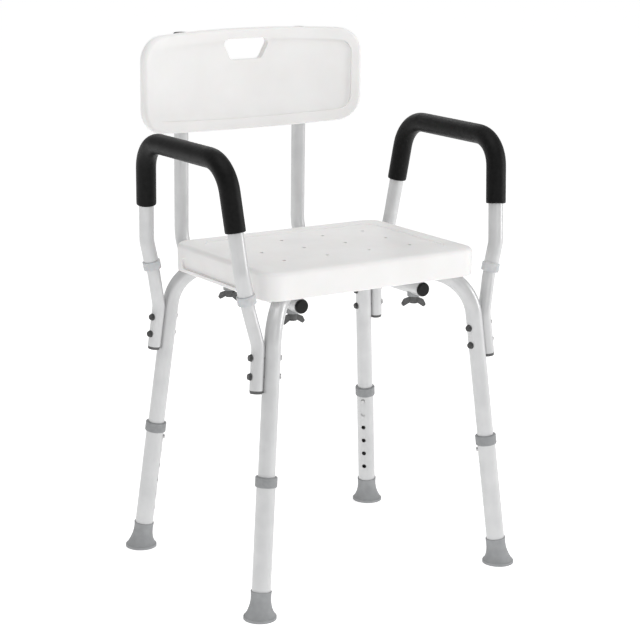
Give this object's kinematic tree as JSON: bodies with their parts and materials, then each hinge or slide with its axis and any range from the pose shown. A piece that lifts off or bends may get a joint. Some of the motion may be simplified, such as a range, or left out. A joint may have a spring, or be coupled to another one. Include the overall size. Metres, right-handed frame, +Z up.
{
  "type": "shower chair",
  "caption": "Free-standing shower chair with a moulded plastic seat and curved back, padded lift-off arms and splayed telescoping aluminium legs on rubber feet.",
  "frame": {"origin": "floor level, in the middle of the chair in plan", "axes": "+Z up, +X to the sitter's left, and the sitter faces -Y"},
  "size_m": [0.568, 0.506, 0.898],
  "materials": {
    "white_plastic": "satin, lightly grained",
    "tube_aluminium": "satin anodised",
    "grey_plastic": "moulded",
    "pale_plastic": "moulded, pale grey",
    "grey_rubber": "moulded",
    "knob_plastic": "moulded",
    "foam": "closed-cell foam sleeve",
    "black_plastic": "moulded",
    "steel": "zinc plated",
    "brass": "turned"
  },
  "bodies": {
    "frame": {"seat": "white_plastic", "seat_inserts": "brass", "centre_bolt": "steel", "frame_tube_upper": "tube_aluminium", "frame_tube_lower": "tube_aluminium", "backrest": "white_plastic", "backrest_screws": "steel", "back_rail_left": "tube_aluminium", "back_rail_right": "tube_aluminium", "rail_plug_left": "black_plastic", "rail_plug_right": "black_plastic", "rail_cap_left": "black_plastic", "rail_cap_right": "black_plastic", "knob_saddles": "grey_plastic", "arm_post_front_left": "tube_aluminium", "arm_post_front_right": "tube_aluminium", "arm_post_rear_left": "tube_aluminium", "arm_post_rear_right": "tube_aluminium", "post_caps": "grey_plastic", "arm_bolts": "steel", "arm_nuts": "steel"},
    "leg_front_left": {"leg_tube_front_left": "tube_aluminium", "leg_collar_front_left": "grey_plastic", "foot_front_left": "grey_rubber"},
    "button_front_left": {"snap_button_front_left": "steel"},
    "knob_front_left": {"wing_knob_front_left": "knob_plastic", "knob_stud_front_left": "steel"},
    "leg_front_right": {"leg_tube_front_right": "tube_aluminium", "leg_collar_front_right": "grey_plastic", "foot_front_right": "grey_rubber"},
    "button_front_right": {"snap_button_front_right": "steel"},
    "knob_front_right": {"wing_knob_front_right": "knob_plastic", "knob_stud_front_right": "steel"},
    "leg_rear_left": {"leg_tube_rear_left": "tube_aluminium", "leg_collar_rear_left": "grey_plastic", "foot_rear_left": "grey_rubber"},
    "button_rear_left": {"snap_button_rear_left": "steel"},
    "knob_rear_left": {"wing_knob_rear_left": "knob_plastic", "knob_stud_rear_left": "steel"},
    "leg_rear_right": {"leg_tube_rear_right": "tube_aluminium", "leg_collar_rear_right": "grey_plastic", "foot_rear_right": "grey_rubber"},
    "button_rear_right": {"snap_button_rear_right": "steel"},
    "knob_rear_right": {"wing_knob_rear_right": "knob_plastic", "knob_stud_rear_right": "steel"},
    "arm_left": {"arm_tube_left": "tube_aluminium", "arm_grip_left": "foam", "arm_collar_front_left": "pale_plastic", "arm_collar_rear_left": "pale_plastic"},
    "arm_right": {"arm_tube_right": "tube_aluminium", "arm_grip_right": "foam", "arm_collar_front_right": "pale_plastic", "arm_collar_rear_right": "pale_plastic"}
  },
  "joints": [
    {"name": "leg_slide_front_left", "type": "slide", "parent": "frame", "child": "leg_front_left", "axis": [0.0958, 0.0781, 0.9923], "range_m": [0, 0.1325], "deforming": ["snap_button_front_left"]},
    {"name": "button_press_front_left", "type": "slide", "parent": "frame", "child": "button_front_left", "axis": [-0.769, -0.6272, 0.1236], "range_m": [0, 0.0045], "stiffness_N_per_m": 1500, "springref_m": -0.003},
    {"name": "knob_turn_front_left", "type": "hinge", "parent": "frame", "child": "knob_front_left", "pos_m": [-0.122, -0.12641, 0.4702], "axis": [0, 0, 1], "continuous": true},
    {"name": "leg_slide_front_right", "type": "slide", "parent": "frame", "child": "leg_front_right", "axis": [-0.0958, 0.0781, 0.9923], "range_m": [0, 0.1325], "deforming": ["snap_button_front_right"]},
    {"name": "button_press_front_right", "type": "slide", "parent": "frame", "child": "button_front_right", "axis": [0.769, -0.6272, 0.1236], "range_m": [0, 0.0045], "stiffness_N_per_m": 1500, "springref_m": -0.003},
    {"name": "knob_turn_front_right", "type": "hinge", "parent": "frame", "child": "knob_front_right", "pos_m": [0.122, -0.12641, 0.4702], "axis": [0, 0, 1], "continuous": true},
    {"name": "leg_slide_rear_left", "type": "slide", "parent": "frame", "child": "leg_rear_left", "axis": [0.0958, -0.0781, 0.9923], "range_m": [0, 0.1325], "deforming": ["snap_button_rear_left"]},
    {"name": "button_press_rear_left", "type": "slide", "parent": "frame", "child": "button_rear_left", "axis": [-0.769, 0.6272, 0.1236], "range_m": [0, 0.0045], "stiffness_N_per_m": 1500, "springref_m": -0.003},
    {"name": "knob_turn_rear_left", "type": "hinge", "parent": "frame", "child": "knob_rear_left", "pos_m": [-0.122, 0.07259, 0.4702], "axis": [0, 0, 1], "continuous": true},
    {"name": "leg_slide_rear_right", "type": "slide", "parent": "frame", "child": "leg_rear_right", "axis": [-0.0958, -0.0781, 0.9923], "range_m": [0, 0.1325], "deforming": ["snap_button_rear_right"]},
    {"name": "button_press_rear_right", "type": "slide", "parent": "frame", "child": "button_rear_right", "axis": [0.769, 0.6272, 0.1236], "range_m": [0, 0.0045], "stiffness_N_per_m": 1500, "springref_m": -0.003},
    {"name": "knob_turn_rear_right", "type": "hinge", "parent": "frame", "child": "knob_rear_right", "pos_m": [0.122, 0.07259, 0.4702], "axis": [0, 0, 1], "continuous": true},
    {"name": "arm_lift_left", "type": "slide", "parent": "frame", "child": "arm_left", "axis": [-0.2198, 0, 0.9755], "range_m": [0, 0.045]},
    {"name": "arm_lift_right", "type": "slide", "parent": "frame", "child": "arm_right", "axis": [0.2198, 0, 0.9755], "range_m": [0, 0.045]}
  ]
}
